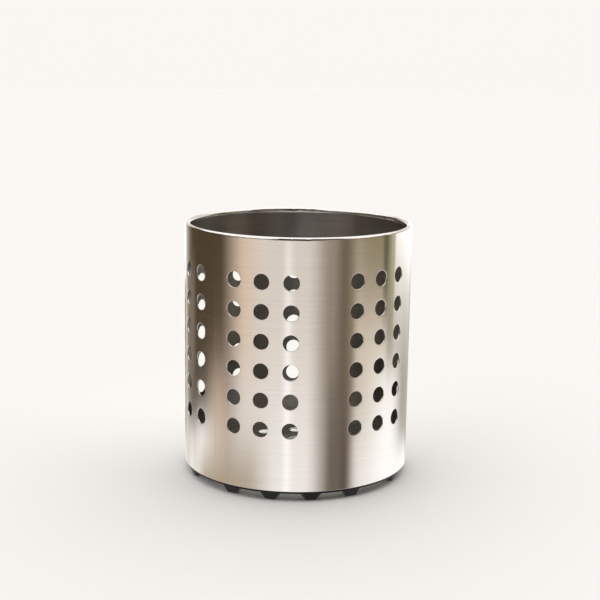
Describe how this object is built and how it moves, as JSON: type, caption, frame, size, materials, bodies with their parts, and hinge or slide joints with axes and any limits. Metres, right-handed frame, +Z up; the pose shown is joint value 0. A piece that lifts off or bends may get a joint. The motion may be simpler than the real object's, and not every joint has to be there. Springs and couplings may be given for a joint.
{
  "type": "cutlery stand",
  "caption": "Round upright cutlery stand: a punched, brushed steel cylinder with a rolled rim, a drained floor and a plastic ring of small feet.",
  "frame": {"origin": "centre of the stand on the surface that the feet stand on", "axes": "+Z up along the cylinder's axis; -Y is the side that faces the viewer in the picture, +X to its right"},
  "size_m": [0.12, 0.12, 0.1342],
  "materials": {
    "brushed_steel": "satin, brushed round the cylinder",
    "floor_steel": "satin, rolled sheet",
    "foot_plastic": "matt black"
  },
  "bodies": {
    "root": {"perforated_wall": "brushed_steel", "drained_floor": "floor_steel", "foot_ring": "foot_plastic"}
  },
  "joints": []
}
